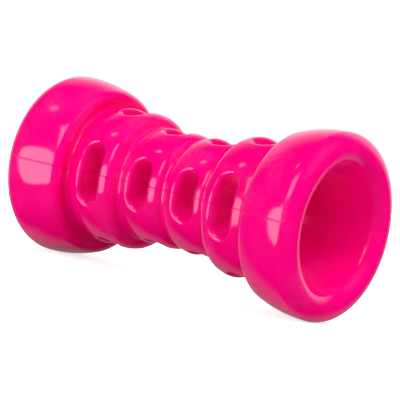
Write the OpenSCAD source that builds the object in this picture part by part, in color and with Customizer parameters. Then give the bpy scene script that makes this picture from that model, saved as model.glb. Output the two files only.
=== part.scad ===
// Hollow rubber chew toy: a waisted tube lying on its side along X, with a flared bell and a rolled
// lip at each end and four beaded ribs between them. Every rib has four obround slots with rounded
// rims, a quarter turn apart, that open into the hollow core. The real toy is one moulding, and each
// half of it is divided here at the grooves and at the lip's crest into zones that meet face to face.
// Millimetres, +Z up, resting at z = 0, centred on X and Y.

/* [Overall] */
// Length from lip to lip
toy_len = 140; // [120:1:170]

/* [Bells] */
// Radius of a bell at its crest
bell_r = 36.1; // [33:0.1:42]
// Radius of the round bead that forms the lip
lip_r = 6.1; // [4:0.1:7]
// How far below the crest the flank of a bell breaks down into the groove
bell_edge_drop = 3.5; // [2.6:0.1:6]
// Rounding of that edge
bell_edge_round = 3.2; // [2:0.1:4]
// Distance from the middle of the toy to the groove beside a bell
bell_groove_x = 45.2; // [43:0.1:48]
// Radius at the bottom of the groove beside a bell
bell_groove_r = 24.9; // [24:0.1:26]

/* [Ribs] */
// Distance from the middle of the toy to the crest of an inner rib
inner_rib_x = 11.3; // [10.5:0.1:13]
// Radius of an inner rib at its crest
inner_rib_r = 23.5; // [22.5:0.1:25]
// Distance from the middle of the toy to the crest of an outer rib
outer_rib_x = 32.6; // [32:0.1:35]
// Radius of an outer rib at its crest
outer_rib_r = 27.9; // [26.5:0.1:29]
// Distance from the middle of the toy to the groove between an inner and an outer rib
rib_groove_x = 22.6; // [21.5:0.1:24]
// Radius at the bottom of the groove between an inner and an outer rib
rib_groove_r = 21.0; // [20:0.1:22]
// Radius at the bottom of the groove in the middle of the toy
mid_groove_r = 20.4; // [19:0.1:21.5]
// Radius of the arc along a rib's crown, seen in section
crown_r = 35; // [25:1:60]
// Rounding of a rib's shoulders
shoulder_r = 2.8; // [1.5:0.1:3.5]
// Rounding at the bottom of every groove
groove_r = 1.6; // [1:0.1:2.2]

/* [Slots] */
// Width of a slot along the toy
slot_w = 8.4; // [6:0.1:12]
// Length of an outer rib's slot, measured round the crest
outer_slot_len = 25; // [16:0.1:30]
// Length of an inner rib's slot, measured round the crest
inner_slot_len = 20; // [14:0.1:24]

// Rounding of a slot's outer rim
slot_rim_r = 2; // [0.5:0.1:2.5]
// Draft of a slot's walls, by which they close in towards the core, in degrees
slot_draft = 4; // [0:0.5:6]

/* [Hollow core] */
// Radius of the bore through the waist
bore_r = 12; // [10:0.1:16]
// Distance from the middle of the toy at which the bore starts to open
flare_x = 9.6; // [8:0.1:16]
// Radius of the arc through which the bore opens into the tapered cup
flare_r = 50; // [40:1:120]

/* [Smoothness] */
// Largest turn between two points of a drawn arc, in degrees
arc_step = 6; // [3:1:12]

/* [Hidden] */
$fn = 96;
rubber_pink = [0.98, 0.0, 0.49];
slots_per_rib = 4;
// A slot is cut from halfway out to the bore's wall, to one lip bead beyond the crest
slot_from = bore_r / 2;
slot_past = lip_r;
// Turn of a rim's rounding, in degrees: a little short of the crown's own slope, so that the two meet
// in a clear edge
rim_turn = 80;

// Every outline is drawn as [radius, distance from the middle], for one half of the toy.
// Centres of the lip's bead and of the arcs at the bottom of the three grooves
lip_c = [bell_r - lip_r, toy_len / 2 - lip_r];
mid_groove_c = [mid_groove_r + groove_r, 0];
rib_groove_c = [rib_groove_r + groove_r, rib_groove_x];
bell_groove_c = [bell_groove_r + groove_r, bell_groove_x];

// The flank is one arc that has dropped to the bell's edge over the groove and lies level at the crest
flank_run = lip_c[1] - bell_groove_x;
flank_r = (pow(flank_run, 2) + pow(bell_edge_drop, 2)) / (2 * bell_edge_drop);
flank_c = [bell_r - flank_r, lip_c[1]];

// Angle of a direction in the outline, from straight out (0) towards the lip (90)
function heading(v) = atan2(v[1], v[0]);

// The cup is the straight line that touches both the flare's arc and the lip's bead on their inner side
flare_c = [bore_r + flare_r, flare_x];
lip_dir = lip_c - flare_c;
cup_taper = 180 - heading(lip_dir) - acos((flare_r - lip_r) / norm(lip_dir));
cup_mouth = lip_c + lip_r * [-cos(cup_taper), sin(cup_taper)];

// Points along an arc from heading a to heading b, both ends included
function arc(c, r, a, b) =
    let (n = max(1, ceil(abs(b - a) / arc_step)))
    [for (i = [0:n]) let (t = a + (b - a) * i / n) c + r * [cos(t), sin(t)]];

// Outlines joined end to end, without the points that they share
function joined(paths) =
    [for (i = [0:len(paths) - 1]) for (j = [(i == 0 ? 0 : 1):len(paths[i]) - 1]) paths[i][j]];

function reversed(p) = [for (i = [len(p) - 1:-1:0]) p[i]];

// Centre of a circle at distance ra from a and rb from b, on the outer side of the line between them
function between(a, ra, b, rb) =
    let (
        d = norm(b - a),
        u = (b - a) / d,
        k = (d * d + ra * ra - rb * rb) / (2 * d),
        h = sqrt(max(0, ra * ra - k * k)),
        side = b[1] > a[1] ? 1 : -1
    )
    a + u * k + [u[1], -u[0]] * h * side;

// Centre of the shoulder that rolls a crown of radius rc over into a groove
function shoulder_c(crown_c, rc, round, groove_c) = between(crown_c, rc - round, groove_c, round + groove_r);

// Outline from the bottom of a groove, up its wall and over the shoulder to the crown
function climb(crown_c, rc, round, groove_c) =
    let (
        s = shoulder_c(crown_c, rc, round, groove_c),
        wall = heading(s - groove_c),
        near = groove_c[1] < crown_c[1]
    )
    joined([
        arc(groove_c, groove_r, near ? 180 : -180, wall),
        arc(s, round, near ? wall - 180 : wall + 180, heading(s - crown_c))
    ]);

// Outline over a rib, from the groove on its near side to the groove on its far side
function rib_outline(crown_c, near_c, far_c) =
    let (
        a = heading(shoulder_c(crown_c, crown_r, shoulder_r, near_c) - crown_c),
        b = heading(shoulder_c(crown_c, crown_r, shoulder_r, far_c) - crown_c)
    )
    joined([
        climb(crown_c, crown_r, shoulder_r, near_c),
        arc(crown_c, crown_r, a, b),
        reversed(climb(crown_c, crown_r, shoulder_r, far_c))
    ]);

// Radius of the hollow core at a distance x from the middle, as far as the lip's bead
function core_r(x) =
    x <= flare_x ? bore_r
    : x <= flare_x + flare_r * sin(cup_taper) ? bore_r + flare_r - sqrt(pow(flare_r, 2) - pow(x - flare_x, 2))
    : cup_mouth[0] - (cup_mouth[1] - x) * tan(cup_taper);

// Points down the core's wall from x = b back to x = a, with one where the bore ends
core_steps = 8;
function core_wall(a, b) =
    let (bend = a < flare_x && flare_x < b ? flare_x : a)
    concat(
        [for (i = [core_steps:-1:0]) let (x = bend + (b - bend) * i / core_steps) [core_r(x), x]],
        bend > a ? [[core_r(a), a]] : []
    );

// A closed outline turned about the toy's axis, which then lies along X at the height of the bells
module turned(outline) {
    translate([0, 0, bell_r])
        rotate([0, 90, 0])
            rotate_extrude()
                polygon(outline);
}

// Centre of the rounding of a slot's rim, as [distance from the slot's middle plane, radius]. It touches the
// slot's wall and the rib's crown.
function rim_c(crest_r) =
    let (w = slot_w / 2 + slot_rim_r)
    [w, crest_r - crown_r + sqrt(pow(crown_r - slot_rim_r, 2) - pow(w, 2))];

// Half the section of a slot's cutter: the drafted wall, the rounding of the rim, and a run out beyond the skin
module slot_half_section(crest_r) {
    c = rim_c(crest_r);
    root = [slot_w / 2 - (c[1] - slot_from) * tan(slot_draft), slot_from];
    rim_end = c + slot_rim_r * [-cos(rim_turn), sin(rim_turn)];
    out = rim_end + slot_rim_r * [1, 1 / tan(rim_turn)];
    top = crest_r + slot_past;
    difference() {
        polygon([
            [0, slot_from], root, [slot_w / 2, c[1]], c,
            rim_end, out, [out[0], top], [0, top]
        ]);
        translate(c)
            circle(r = slot_rim_r);
    }
}

// The cutter for one slot: a band round the toy's axis with a round radial end on each side
module slot_cutter(x, crest_r, slot_len) {
    half_turn = (slot_len - slot_w) / 2 / crest_r * 180 / PI;
    translate([0, 0, x]) {
        rotate([0, 0, -half_turn])
            rotate_extrude(angle = 2 * half_turn)
                rotate(-90)
                    for (side = [0, 1])
                        mirror([side, 0])
                            slot_half_section(crest_r);
        for (side = [-1, 1])
            rotate([0, 0, side * half_turn])
                rotate([0, 90, 0])
                    rotate_extrude()
                        slot_half_section(crest_r);
    }
}

// The slots of one rib, a quarter turn apart, facing up, down and to both sides
module slot_ring(x, crest_r, slot_len) {
    translate([0, 0, bell_r])
        rotate([0, 90, 0])
            for (i = [0:slots_per_rib - 1])
                rotate([0, 0, i * 360 / slots_per_rib])
                    slot_cutter(x, crest_r, slot_len);
}

// One slotted rib of the right half
module rib(x, crest_r, near_c, far_c, slot_len) {
    crown_c = [crest_r - crown_r, x];
    difference() {
        turned(concat(rib_outline(crown_c, near_c, far_c), core_wall(near_c[1], far_c[1])));
        slot_ring(x, crest_r, slot_len);
    }
}

module inner_rib() {
    color(rubber_pink)
        rib(inner_rib_x, inner_rib_r, mid_groove_c, rib_groove_c, inner_slot_len);
}

module outer_rib() {
    color(rubber_pink)
        rib(outer_rib_x, outer_rib_r, rib_groove_c, bell_groove_c, outer_slot_len);
}

// The flared wall from the groove to the crest, where the lip's bead begins
module bell() {
    edge_c = shoulder_c(flank_c, flank_r, bell_edge_round, bell_groove_c);
    color(rubber_pink)
        turned(concat(
            joined([
                climb(flank_c, flank_r, bell_edge_round, bell_groove_c),
                arc(flank_c, flank_r, heading(edge_c - flank_c), 0)
            ]),
            core_wall(bell_groove_x, lip_c[1])
        ));
}

// The rolled lip: the outer half of the bead, carried back along the core's wall
module lip() {
    color(rubber_pink)
        turned(concat(
            arc(lip_c, lip_r, 0, 180 - cup_taper),
            [[core_r(lip_c[1]), lip_c[1]]]
        ));
}

module left_lip() { mirror([1, 0, 0]) lip(); }
module left_bell() { mirror([1, 0, 0]) bell(); }
module left_outer_rib() { mirror([1, 0, 0]) outer_rib(); }
module left_inner_rib() { mirror([1, 0, 0]) inner_rib(); }
module right_inner_rib() { inner_rib(); }
module right_outer_rib() { outer_rib(); }
module right_bell() { bell(); }
module right_lip() { lip(); }

left_lip();
left_bell();
left_outer_rib();
left_inner_rib();
right_inner_rib();
right_outer_rib();
right_bell();
right_lip();
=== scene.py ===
# A hollow pink rubber chew toy, lying on its side on a white table in soft studio light.
import bpy
import bmesh
from math import acos, atan2, ceil, cos, degrees, hypot, pi, radians, sin, sqrt, tan
from mathutils import Matrix, Vector


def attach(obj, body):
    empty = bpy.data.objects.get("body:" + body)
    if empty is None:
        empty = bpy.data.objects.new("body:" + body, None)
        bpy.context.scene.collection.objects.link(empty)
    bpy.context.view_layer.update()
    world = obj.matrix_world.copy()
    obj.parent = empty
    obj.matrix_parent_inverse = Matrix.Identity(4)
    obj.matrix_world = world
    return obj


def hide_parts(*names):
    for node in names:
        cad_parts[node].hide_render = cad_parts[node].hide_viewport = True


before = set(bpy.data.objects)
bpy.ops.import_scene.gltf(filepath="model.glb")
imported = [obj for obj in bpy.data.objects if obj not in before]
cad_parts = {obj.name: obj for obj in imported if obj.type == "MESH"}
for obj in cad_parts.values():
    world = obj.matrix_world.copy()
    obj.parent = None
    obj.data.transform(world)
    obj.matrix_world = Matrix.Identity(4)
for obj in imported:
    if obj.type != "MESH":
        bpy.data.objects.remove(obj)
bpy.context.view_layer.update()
bpy.ops.object.select_all(action="DESELECT")

# ---------------------------------------------------------------- sizes
# The toy's sizes are in millimetres and the frame is in metres, with X along the toy's axis and the table at Z = 0.
mm = 0.001
half_length, bell_r, lip_r = 70.0, 36.1, 6.1
axis_up = bell_r  # the toy rests on the crests of its two bells
bell_edge_x, bell_edge_drop, bell_edge_round = 45.2, 3.5, 3.2
bore_r, flare_x, flare_round = 12.0, 9.6, 50.0
inner_crest_x, inner_crest_r = 11.3, 23.5
outer_crest_x, outer_crest_r = 32.6, 27.9
crown_round, shoulder_round, groove_round = 35.0, 3.4, 1.8
mid_groove_r = 20.5
rib_groove_x, rib_groove_r = 20.4, 22.0
bell_groove_x, bell_groove_r = 44.0, 25.2
inner_slot_length, outer_slot_length = 20.0, 25.0
slot_half, slot_draft = 4.2, 6.0  # half a slot's width, and the draft of its walls in degrees
rim_round, inner_rim_round = 2.0, 0.5

# ---------------------------------------------------------------- camera
# A long lens about 0.8 m away, a little above the toy and well round towards its right end, so that one mouth
# shows. The photograph is turned by 11 degrees, so the toy slopes down to the right.
lens_mm, sensor_mm = 182.5, 36
camera_at = Vector((0.4697, -0.6324, 0.0800))
view_right = Vector((0.7815, 0.5917, 0.1976)).normalized()
view_back = Vector((0.5933, -0.8029, 0.0581)).normalized()
view_up = view_back.cross(view_right).normalized()
view_right = view_up.cross(view_back)

bpy.ops.object.camera_add(location=camera_at)
camera = bpy.context.object
camera.name = "camera"
camera.data.lens = lens_mm
camera.data.sensor_width = sensor_mm
camera.data.clip_start = 0.01
camera.matrix_world = Matrix.Translation(camera_at) @ Matrix((view_right, view_up, view_back)).transposed().to_4x4()
bpy.context.scene.camera = camera
bpy.context.scene.view_settings.view_transform = "Standard"


# ---------------------------------------------------------------- shader nodes
def srgb(code):
    """An sRGB hex colour as the linear colour a shader takes."""
    parts = [int(code[i:i + 2], 16) / 255 for i in (1, 3, 5)]
    return [p / 12.92 if p <= 0.04045 else ((p + 0.055) / 1.055) ** 2.4 for p in parts] + [1.0]


def node(tree, kind, inputs=None, **settings):
    """Adds one shader node, sets it up and links or sets its inputs."""
    made = tree.nodes.new(kind)
    for key, value in settings.items():
        setattr(made, key, value)
    for key, value in (inputs or {}).items():
        if isinstance(value, bpy.types.NodeSocket):
            tree.links.new(value, made.inputs[key])
        else:
            made.inputs[key].default_value = value
    return made


def noise(tree, place, size, detail, roughness):
    """Noise in blotches about this many millimetres across."""
    return node(tree, "ShaderNodeTexNoise", {"Vector": place, "Scale": 1 / (size * mm), "Detail": detail,
                                             "Roughness": roughness}).outputs["Fac"]


def remap(tree, value, low, high, to_low, to_high, **settings):
    """Maps the range from low to high onto the one from to_low to to_high, and stays within it."""
    return node(tree, "ShaderNodeMapRange", {"Value": value, "From Min": low, "From Max": high, "To Min": to_low,
                                             "To Max": to_high}, **settings).outputs["Result"]


def combine(tree, operation, first, second=0.0):
    """One step of arithmetic on one or two values."""
    return node(tree, "ShaderNodeMath", {0: first, 1: second}, operation=operation).outputs["Value"]


def part_along(tree, toward, axis):
    """How far a direction runs along an axis, from -1 to 1."""
    return node(tree, "ShaderNodeVectorMath", {0: toward, 1: axis}, operation="DOT_PRODUCT").outputs["Value"]


def plain_light(tree, kind, strength):
    """White light of one strength, from a surface or from the room."""
    return node(tree, kind, {"Color": (1, 1, 1, 1), "Strength": strength}).outputs[0]


def blank_material(name):
    made = bpy.data.materials.new(name)
    made.use_nodes = True
    made.node_tree.nodes.clear()
    return made


# ---------------------------------------------------------------- rubber
# The whole toy is one moulding of solid natural rubber, dyed a hot pink. It comes out of a polished steel mould, so
# its skin is glossy, and only a faint ripple and the fine raised line where the mould parts break the reflections.
line_top, line_foot, line_height = 0.05, 0.35, 0.14  # half the line's width at its top and at its foot, and its height
ripple_height = 0.02

rubber = blank_material("pink_natural_rubber")
tree = rubber.node_tree
place = node(tree, "ShaderNodeTexCoord").outputs["Object"]
# Dye that is a shade deeper in slow patches about 30 mm across
dye = node(tree, "ShaderNodeValToRGB", {"Fac": noise(tree, place, 30, 2.0, 0.5)})
dye.color_ramp.elements[0].position = 0.35
dye.color_ramp.elements[0].color = srgb("#f6007a")
dye.color_ramp.elements[1].position = 0.65
dye.color_ramp.elements[1].color = srgb("#fb0080")
# A skin that the mould left a little duller in places, about 12 mm across
dull = remap(tree, noise(tree, place, 12, 3.0, 0.55), 0.3, 0.7, 0.08, 0.13)
# Ripple of the moulded skin, about 6 mm from crest to crest
swell = node(tree, "ShaderNodeBump", {"Height": noise(tree, place, 6, 1.0, 0.4), "Strength": 1.0,
                                      "Distance": ripple_height * mm})
# The parting line runs from end to end at the height of the toy's axis, 0.7 mm wide, on the outside alone
spot = node(tree, "ShaderNodeSeparateXYZ", {"Vector": place})
from_line = combine(tree, "ABSOLUTE", combine(tree, "SUBTRACT", spot.outputs["Z"], axis_up * mm))
ridge = remap(tree, from_line, line_top * mm, line_foot * mm, 1.0, 0.0, interpolation_type="SMOOTHSTEP")
true_normal = node(tree, "ShaderNodeNewGeometry").outputs["True Normal"]
facing = node(tree, "ShaderNodeSeparateXYZ", {"Vector": true_normal}).outputs["Y"]
outside = combine(tree, "GREATER_THAN", combine(tree, "MULTIPLY", facing, spot.outputs["Y"]), 0.0)
line = node(tree, "ShaderNodeBump", {"Height": combine(tree, "MULTIPLY", ridge, outside), "Strength": 1.0,
                                     "Distance": line_height * mm, "Normal": swell.outputs["Normal"]})
# A faint pale bloom of wax and dust in patches about 15 mm across, broken up at 1.5 mm
patchy = remap(tree, noise(tree, place, 15, 1.0, 0.5), 0.5, 0.65, 0.0, 1.0)
broken = remap(tree, noise(tree, place, 1.5, 2.0, 0.6), 0.4, 0.62, 0.02, 0.14)
haze = combine(tree, "MULTIPLY", patchy, broken)
shader = node(tree, "ShaderNodeBsdfPrincipled", {"Base Color": dye.outputs["Color"], "Roughness": dull,
                                                 "Normal": line.outputs["Normal"], "IOR": 1.52,
                                                 "Sheen Weight": haze, "Sheen Roughness": 0.5})
node(tree, "ShaderNodeOutputMaterial", {"Surface": shader.outputs["BSDF"]})

# ---------------------------------------------------------------- outlines
# An outline is a list of points (radius, distance from the middle), and so is an arc's centre. A heading is 0 straight
# out and 90 towards the lip.
lip_c = (bell_r - lip_r, half_length - lip_r)
flare_c = (bore_r + flare_round, flare_x)
mid_groove_c = (mid_groove_r + groove_round, 0.0)
rib_groove_c = (rib_groove_r + groove_round, rib_groove_x)
bell_groove_c = (bell_groove_r + groove_round, bell_groove_x)


def heading(a, b):
    return degrees(atan2(b[1] - a[1], b[0] - a[0]))


def arc(c, r, a, b, step):
    """Points round c from heading a to heading b, at most step degrees apart."""
    n = max(1, ceil(abs(b - a) / step))
    turns = [radians(a + (b - a) * i / n) for i in range(n + 1)]
    return [(c[0] + r * cos(t), c[1] + r * sin(t)) for t in turns]


def shoulder(crown_c, crown_r, round_r, groove_c):
    """Centre of the arc that rolls a crown over into a groove, touching both."""
    ra, rb = crown_r - round_r, round_r + groove_round
    d = hypot(groove_c[0] - crown_c[0], groove_c[1] - crown_c[1])
    u = ((groove_c[0] - crown_c[0]) / d, (groove_c[1] - crown_c[1]) / d)
    k = (d * d + ra * ra - rb * rb) / (2 * d)
    h = sqrt(max(0.0, ra * ra - k * k)) * (1 if groove_c[1] > crown_c[1] else -1)
    return (crown_c[0] + u[0] * k + u[1] * h, crown_c[1] + u[1] * k - u[0] * h)


def climb(crown_c, crown_r, round_r, groove_c):
    """Outline from the bottom of a groove, up its wall and over the shoulder to the crown."""
    s = shoulder(crown_c, crown_r, round_r, groove_c)
    wall = heading(groove_c, s)
    near = groove_c[1] < crown_c[1]
    return (arc(groove_c, groove_round, 180 if near else -180, wall, 6)
            + arc(s, round_r, wall - 180 if near else wall + 180, heading(crown_c, s), 4)[1:])


to_lip = (lip_c[0] - flare_c[0], lip_c[1] - flare_c[1])
cup_taper = 180 - degrees(atan2(to_lip[1], to_lip[0])) - degrees(acos((flare_round - lip_r) / hypot(*to_lip)))
cup_mouth = (lip_c[0] - lip_r * cos(radians(cup_taper)), lip_c[1] + lip_r * sin(radians(cup_taper)))


def core_r(x):
    """Radius of the hollow core: a bore, an arc that opens it, and a taper that touches the lip's bead."""
    x = abs(x)
    if x <= flare_x:
        return bore_r
    if x <= flare_x + flare_round * sin(radians(cup_taper)):
        return bore_r + flare_round - sqrt(flare_round ** 2 - (x - flare_x) ** 2)
    return cup_mouth[0] - (cup_mouth[1] - x) * tan(radians(cup_taper))


# ---------------------------------------------------------------- meshes
weld = 0.002  # points this near each other are one
crisp = 0.03  # a ring of faces this narrow at both ends of a piece keeps its square corner crisp
corner_angle = 50  # in degrees: a sharper edge than this isn't smoothed


def settle(piece):
    """Welds a finished mesh, turns its faces outwards and smooths it, all but its square corners."""
    bpy.ops.object.mode_set(mode="EDIT")
    bpy.ops.mesh.select_all(action="SELECT")
    bpy.ops.mesh.remove_doubles(threshold=weld * mm)
    bpy.ops.mesh.normals_make_consistent(inside=False)
    bpy.ops.object.mode_set(mode="OBJECT")
    bpy.ops.object.shade_smooth_by_angle(angle=radians(corner_angle))
    piece.data.materials.clear()
    piece.data.materials.append(rubber)
    bpy.ops.object.select_all(action="DESELECT")


def hand_over(piece, zone):
    """Puts a piece in the place of its zone of the moulding, and its mirror image in the other half's."""
    image = piece.copy()
    image.data = piece.data.copy()
    bpy.context.collection.objects.link(image)
    image.data.transform(Matrix.Scale(-1, 4, Vector((1, 0, 0))))
    image.data.flip_normals()
    for side, half in (("right", piece), ("left", image)):
        half.name = half.data.name = side + "_" + zone + "_rubber"
        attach(half, "root")
        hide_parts(side + "_" + zone)


# ---------------------------------------------------------------- ribs
# Four rounded ribs like beads stand round the waist, the outer two larger, with a groove between each two. Each has
# four long round-ended slots, a quarter turn apart, moulded right through the wall with softly rounded rims.
block_margin_x, block_margin_u = 0.7, 1.0  # from a slot's rim to the edge of the block of faces that is cut out for it
block_rows, block_pitch, plain_pitch, row_gap = 12, 1.1, 1.2, 0.3
rim_steps, wall_steps, inner_rim_steps = 6, 6, 4
# How far each plain ring has come from the block's edge to the slot's rim, on the outer sheet and on the core's
sheet_shares, core_sheet_shares = (0.35, 0.7), (0.6, 0.3, 0.0)
on_edge, on_sheet, at_end = 1e-4, 0.01, 0.001  # how near a point is taken to lie on an edge, a sheet or an end


def quarter_turn(steps):
    return [pi / 2 * i / steps for i in range(steps + 1)]


def place_of(v):
    """A point's place, by which it is found again after its ring has been extruded."""
    return round(v.co.x, 4), round(v.co.y, 4), round(v.co.z, 4)


def rounded_rib(zone, crest_x, crest_r, near_c, far_c, slot_length):
    """Models a quarter of a rib flat with its slot, wraps it round the axis and turns it into a ring."""
    crown_c = (crest_r - crown_round, crest_x)
    outline = climb(crown_c, crown_round, shoulder_round, near_c)
    far_side = climb(crown_c, crown_round, shoulder_round, far_c)[::-1]
    crown = arc(crown_c, crown_round, heading(crown_c, outline[-1]), heading(crown_c, far_side[0]), 1.0)
    outline += crown[1:-1] + far_side

    def skin_r(x):
        for (r0, x0), (r1, x1) in zip(outline, outline[1:]):
            if x <= x1:
                return r0 + (r1 - r0) * (x - x0) / (x1 - x0)
        return outline[-1][0]

    # The flat quarter has x along the toy and u round it. A block of it is left open for the slot.
    block_x, block_u = slot_half + rim_round + block_margin_x, slot_length / 2 + rim_round + block_margin_u
    block_cols = 2 * round(block_u / block_pitch)
    quarter_u = crest_r * pi / 4
    beyond = round((quarter_u - block_u) / plain_pitch)
    rows = ([x for _, x in outline if x < crest_x - block_x - row_gap]
            + [crest_x - block_x + 2 * block_x * i / block_rows for i in range(block_rows + 1)]
            + [x for _, x in outline if x > crest_x + block_x + row_gap])
    rows[1:1], rows[-1:-1] = [rows[0] + crisp], [rows[-1] - crisp]
    cols = ([-quarter_u + (quarter_u - block_u) * i / beyond for i in range(beyond)]
            + [-block_u + 2 * block_u * i / block_cols for i in range(block_cols + 1)]
            + [block_u + (quarter_u - block_u) * i / beyond for i in range(1, beyond + 1)])
    nx, nu = len(rows) - 1, len(cols) - 1
    bpy.ops.mesh.primitive_grid_add(x_subdivisions=nx, y_subdivisions=nu, size=1, location=(0, 0, 0))
    piece = bpy.context.object
    for v in piece.data.vertices:
        v.co = (rows[round((v.co.x + 0.5) * nx)], cols[round((v.co.y + 0.5) * nu)], 0)

    # The block is taken out, and a second sheet is laid one wall below the first for the core's side.
    depth = skin_r(crest_x) - core_r(crest_x)
    bpy.ops.object.mode_set(mode="EDIT")
    bm = bmesh.from_edit_mesh(piece.data)
    for f in bm.faces:
        c = f.calc_center_median()
        f.select_set(abs(c.x - crest_x) < block_x and abs(c.y) < block_u)
    bmesh.update_edit_mesh(piece.data)
    bpy.ops.mesh.delete(type="FACE")
    bpy.ops.mesh.select_all(action="SELECT")
    bpy.ops.mesh.duplicate_move(TRANSFORM_OT_translate={"value": (0, 0, -depth)})

    # From the outer sheet's opening, ring after ring is extruded: in to the rim, over it, down the wall and out again
    # over the inner rim to the core's sheet. A ring's point is told by where it started on the block's edge.
    straight = slot_length / 2 - slot_half
    side_u = block_u * straight / (straight + slot_half)
    end_u = block_u * slot_half / (straight + slot_half)

    def foot(x, u):
        """Where on the slot's middle line a point on the block's edge belongs, and the direction from there to it."""
        if abs(u) < side_u:
            return u * (straight + slot_half) / block_u, (1 if x > 0 else -1, 0)
        side = 1 if u > 0 else -1
        turn = atan2((abs(u) - side_u) * block_x / end_u, abs(x))
        return side * straight, (cos(turn) * (1 if x > 0 else -1), side * sin(turn))

    root = slot_half - (depth - rim_round) * tan(radians(slot_draft))
    wall_depth = depth - rim_round - inner_rim_round
    rim = [(slot_half + rim_round * (1 - sin(t)), -rim_round * (1 - cos(t))) for t in quarter_turn(rim_steps)]
    wall = [(slot_half + (root - slot_half) * i / wall_steps, -rim_round - wall_depth * i / wall_steps)
            for i in range(1, wall_steps + 1)]
    inner_rim = [(root + inner_rim_round * (1 - cos(t)), -depth + inner_rim_round * (1 - sin(t)))
                 for t in quarter_turn(inner_rim_steps)[1:]]
    rings = ([(share, rim[0][0], 0.0) for share in sheet_shares]
             + [(None, offset, z) for offset, z in rim + wall + inner_rim]
             + [(share, inner_rim[-1][0], -depth) for share in core_sheet_shares])
    bm = bmesh.from_edit_mesh(piece.data)
    bm.select_mode = {"VERT"}
    bpy.context.tool_settings.mesh_select_mode = (True, False, False)
    for v in bm.verts:
        past = max(abs(v.co.x - crest_x) - block_x, abs(v.co.y) - block_u)
        v.select_set(abs(v.co.z) < on_sheet and abs(past) < on_edge)
    bm.select_flush_mode()
    bmesh.update_edit_mesh(piece.data)
    started = {place_of(v): (v.co.x - crest_x, v.co.y) for v in bm.verts if v.select}
    for share, offset, z in rings:
        bpy.ops.mesh.extrude_edges_move()
        bm = bmesh.from_edit_mesh(piece.data)
        moved = {}
        for v in bm.verts:
            if v.select:
                x, u = started[place_of(v)]
                mid, (dx, du) = foot(x, u)
                if share is None:
                    v.co = (crest_x + dx * offset, mid + du * offset, z)
                else:
                    v.co = (crest_x + x + (dx * offset - x) * share, u + (mid + du * offset - u) * share, z)
                moved[place_of(v)] = (x, u)
        started = moved
        bmesh.update_edit_mesh(piece.data)

    # The two sheets are joined along both ends.
    for end in (rows[0], rows[-1]):
        bpy.ops.mesh.select_all(action="DESELECT")
        bm = bmesh.from_edit_mesh(piece.data)
        for e in bm.edges:
            if e.is_boundary and all(abs(v.co.x - end) < at_end for v in e.verts):
                e.select_set(True)
        bmesh.update_edit_mesh(piece.data)
        bpy.ops.mesh.bridge_edge_loops()
    bpy.ops.object.mode_set(mode="OBJECT")

    # The flat quarter is wrapped round the axis: the slot's ends stay round and radial, and the rest evens out to the
    # quarter's edge.
    turn_mid = straight / crest_r
    for v in piece.data.vertices:
        x, u, z = v.co
        outer, inner = skin_r(x), core_r(x)
        r = outer + z * (outer - inner) / depth
        away = abs(u) - straight
        if away <= 0:
            turn = abs(u) / crest_r
        else:
            end = slot_half + (inner_rim_round if z < -depth / 2 else rim_round)
            turn = turn_mid + min(away, end) / crest_r
            if away > end:
                turn += (pi / 4 - turn) * (away - end) / (quarter_u - straight - end)
        turn = turn if u > 0 else -turn
        v.co = (x * mm, r * sin(turn) * mm, (axis_up + r * cos(turn)) * mm)

    # Four quarters are turned into a ring.
    bpy.ops.object.mode_set(mode="EDIT")
    bpy.ops.mesh.select_all(action="SELECT")
    bpy.ops.mesh.spin(steps=4, dupli=True, angle=2 * pi, center=(0, 0, axis_up * mm), axis=(1, 0, 0))
    bpy.ops.object.mode_set(mode="OBJECT")
    settle(piece)
    hand_over(piece, zone)


rounded_rib("inner_rib", inner_crest_x, inner_crest_r, mid_groove_c, rib_groove_c, inner_slot_length)
rounded_rib("outer_rib", outer_crest_x, outer_crest_r, rib_groove_c, bell_groove_c, outer_slot_length)

# ---------------------------------------------------------------- bells
# Each end flares into a bell, a plain wall that thickens towards its crest. It is turned from one outline: the flank,
# its rounded edge over the groove, and the taper of the cup inside.
turned_steps, cup_steps = 160, 12


def turned(zone, outline):
    """A closed outline, laid out as a ring of points, is spun round the toy's axis."""
    bpy.ops.mesh.primitive_circle_add(vertices=len(outline), fill_type="NOTHING", location=(0, 0, 0))
    piece = bpy.context.object
    for v, (r, x) in zip(piece.data.vertices, outline):
        v.co = (x * mm, 0, (axis_up + r) * mm)
    bpy.ops.object.mode_set(mode="EDIT")
    bpy.ops.mesh.select_all(action="SELECT")
    bpy.ops.mesh.spin(steps=turned_steps, dupli=False, angle=2 * pi, use_auto_merge=True,
                      center=(0, 0, axis_up * mm), axis=(1, 0, 0))
    bpy.ops.object.mode_set(mode="OBJECT")
    settle(piece)
    hand_over(piece, zone)


def core_wall(a, b, steps):
    """Points down the core's wall from x = b back to x = a."""
    return [(core_r(b + (a - b) * i / steps), b + (a - b) * i / steps) for i in range(steps + 1)]


flank_run = lip_c[1] - bell_edge_x
flank_round = (flank_run ** 2 + bell_edge_drop ** 2) / (2 * bell_edge_drop)
flank_c = (bell_r - flank_round, lip_c[1])
bell = climb(flank_c, flank_round, bell_edge_round, bell_groove_c)
bell += arc(flank_c, flank_round, heading(flank_c, bell[-1]), 0, 1.0)[1:]
bell[1:1] = [(bell[0][0], bell[0][1] + crisp)]
bell[-1:-1] = [(bell_r, lip_c[1] - crisp)]
turned("bell", bell + core_wall(bell_groove_x, lip_c[1], cup_steps))

# ---------------------------------------------------------------- lips
# The bell's crest rolls over into a fat round bead, which runs back inside as the wall of the open cup.
bead = arc(lip_c, lip_r, 0, 180 - cup_taper, 4)
bead[1:1] = [(bell_r, lip_c[1] + crisp)]
turned("lip", bead + [(core_r(lip_c[1]), lip_c[1])])

# ---------------------------------------------------------------- table
# A white table top that reaches far past the toy. It keeps the toy's shadow and throws a little light back up, and the
# rubber's gloss doesn't mirror it: in the photograph the toy's lower half mirrors a dark room.
table_side, table_glow = 4, 0.75

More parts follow.
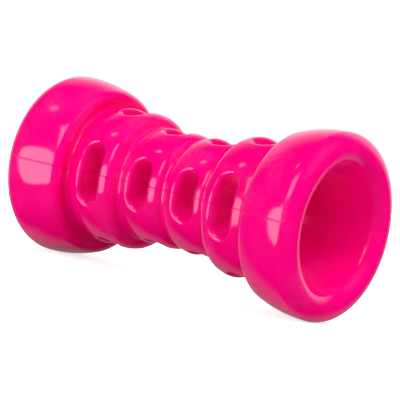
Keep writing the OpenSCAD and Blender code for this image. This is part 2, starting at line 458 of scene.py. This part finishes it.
table = blank_material("white_table")
tree = table.node_tree
paint = node(tree, "ShaderNodeBsdfDiffuse", {"Color": srgb("#f4f4f4")})
lit = node(tree, "ShaderNodeAddShader", {0: paint.outputs[0], 1: plain_light(tree, "ShaderNodeEmission", table_glow)})
dim = node(tree, "ShaderNodeBsdfDiffuse", {"Color": srgb("#dcdcdc")})
rays = node(tree, "ShaderNodeLightPath")
seen = node(tree, "ShaderNodeMixShader", {0: rays.outputs["Is Camera Ray"], 1: dim.outputs[0], 2: lit.outputs[0]})
node(tree, "ShaderNodeOutputMaterial", {"Surface": seen.outputs[0]})
bpy.ops.mesh.primitive_plane_add(size=1, location=(0, 0, 0))
floor = bpy.context.object
floor.name = "table"
for v in floor.data.vertices:
    v.co = (v.co.x * table_side, v.co.y * table_side, 0)
floor.data.materials.append(table)
floor.visible_glossy = False

# ---------------------------------------------------------------- room
# The camera sees a white room, and a dimmer one fills the shadows. The rubber mirrors only the lit backdrop behind the
# toy, which fades out towards its top and is weaker below the toy's level.
seen_light, room_fill = 1.0, 0.25

world = bpy.data.worlds.new("room")
world.use_nodes = True
bpy.context.scene.world = world
tree = world.node_tree
tree.nodes.clear()
toward = node(tree, "ShaderNodeTexCoord").outputs["Generated"]
above = part_along(tree, toward, view_up)
backdrop = remap(tree, part_along(tree, toward, -view_back), 0.4, 0.6, 0.0, 1.0)
hem = remap(tree, above, 0.5, 0.85, 1.0, 0.0)
off_level = remap(tree, above, -0.3, 0.0, 0.3, 1.0)
mirrored = combine(tree, "MULTIPLY", combine(tree, "MULTIPLY", backdrop, hem), off_level)
rays = node(tree, "ShaderNodeLightPath")
unseen = node(tree, "ShaderNodeMixShader", {0: rays.outputs["Is Glossy Ray"],
                                            1: plain_light(tree, "ShaderNodeBackground", room_fill),
                                            2: plain_light(tree, "ShaderNodeBackground", mirrored)})
room = node(tree, "ShaderNodeMixShader", {0: rays.outputs["Is Camera Ray"], 1: unseen.outputs[0],
                                          2: plain_light(tree, "ShaderNodeBackground", seen_light)})
node(tree, "ShaderNodeOutputWorld", {"Surface": room.outputs[0]})

# ---------------------------------------------------------------- lamps
# A square softbox with its corners cut off stands at the photographer's left, level with the toy. A tall one hangs
# above the camera, and a small lamp high at the far left. Broad fills leave no mark in the gloss.
toy_at = Vector((0, 0, axis_up * mm))
fill_far, fill_size = 1.5, 1.4


def toward_toy(side, up):
    """The direction from the toy to a place beside and above the camera, and the turn that faces the toy from there."""
    out = (view_back * cos(radians(side)) + view_right * sin(radians(side))) * cos(radians(up))
    out += view_up * sin(radians(up))
    across = view_up.cross(out).normalized()
    return out, Matrix((across, out.cross(across), out)).transposed().to_4x4()


def softbox(name, side, up, far, width, tall, strength, corner):
    """A lit cloth, its corners cut off, that faces the toy from an angle beside the camera and an angle above it."""
    cloth = blank_material(name)
    tree = cloth.node_tree
    node(tree, "ShaderNodeOutputMaterial", {"Surface": plain_light(tree, "ShaderNodeEmission", strength)})
    bpy.ops.mesh.primitive_plane_add(size=1, location=(0, 0, 0))
    box = bpy.context.object
    box.name = name
    for v in box.data.vertices:
        v.co = (v.co.x * width, v.co.y * tall, 0)
    bpy.ops.object.mode_set(mode="EDIT")
    bpy.ops.mesh.select_all(action="SELECT")
    bpy.ops.mesh.bevel(offset=corner, segments=2, affect="VERTICES")
    bpy.ops.object.mode_set(mode="OBJECT")
    out, facing = toward_toy(side, up)
    box.data.transform(Matrix.Translation(toy_at + out * far) @ facing)
    box.data.materials.append(cloth)
    box.visible_camera = False
    bpy.ops.object.select_all(action="DESELECT")


def broad_fill(name, side, up, power):
    """A round lamp that lights the rubber but isn't mirrored in it."""
    out, facing = toward_toy(side, up)
    bpy.ops.object.light_add(type="AREA", location=toy_at + out * fill_far)
    lamp = bpy.context.object
    lamp.name = name
    lamp.data.shape = "DISK"
    lamp.data.size = fill_size
    lamp.data.energy = power
    lamp.rotation_euler = facing.to_euler()
    lamp.visible_glossy = False


softbox("key_softbox", side=-56, up=0, far=1.0, width=0.72, tall=0.72, strength=4.1, corner=0.2)
softbox("high_softbox", side=-22, up=38, far=1.2, width=0.5, tall=0.62, strength=3.0, corner=0.03)
softbox("top_lamp", side=-80, up=65, far=1.2, width=0.12, tall=0.12, strength=2.8, corner=0.02)
broad_fill("front_fill", side=-30, up=5, power=15.0)
broad_fill("right_fill", side=62, up=42, power=18.5)
broad_fill("back_fill", side=165, up=40, power=8.0)
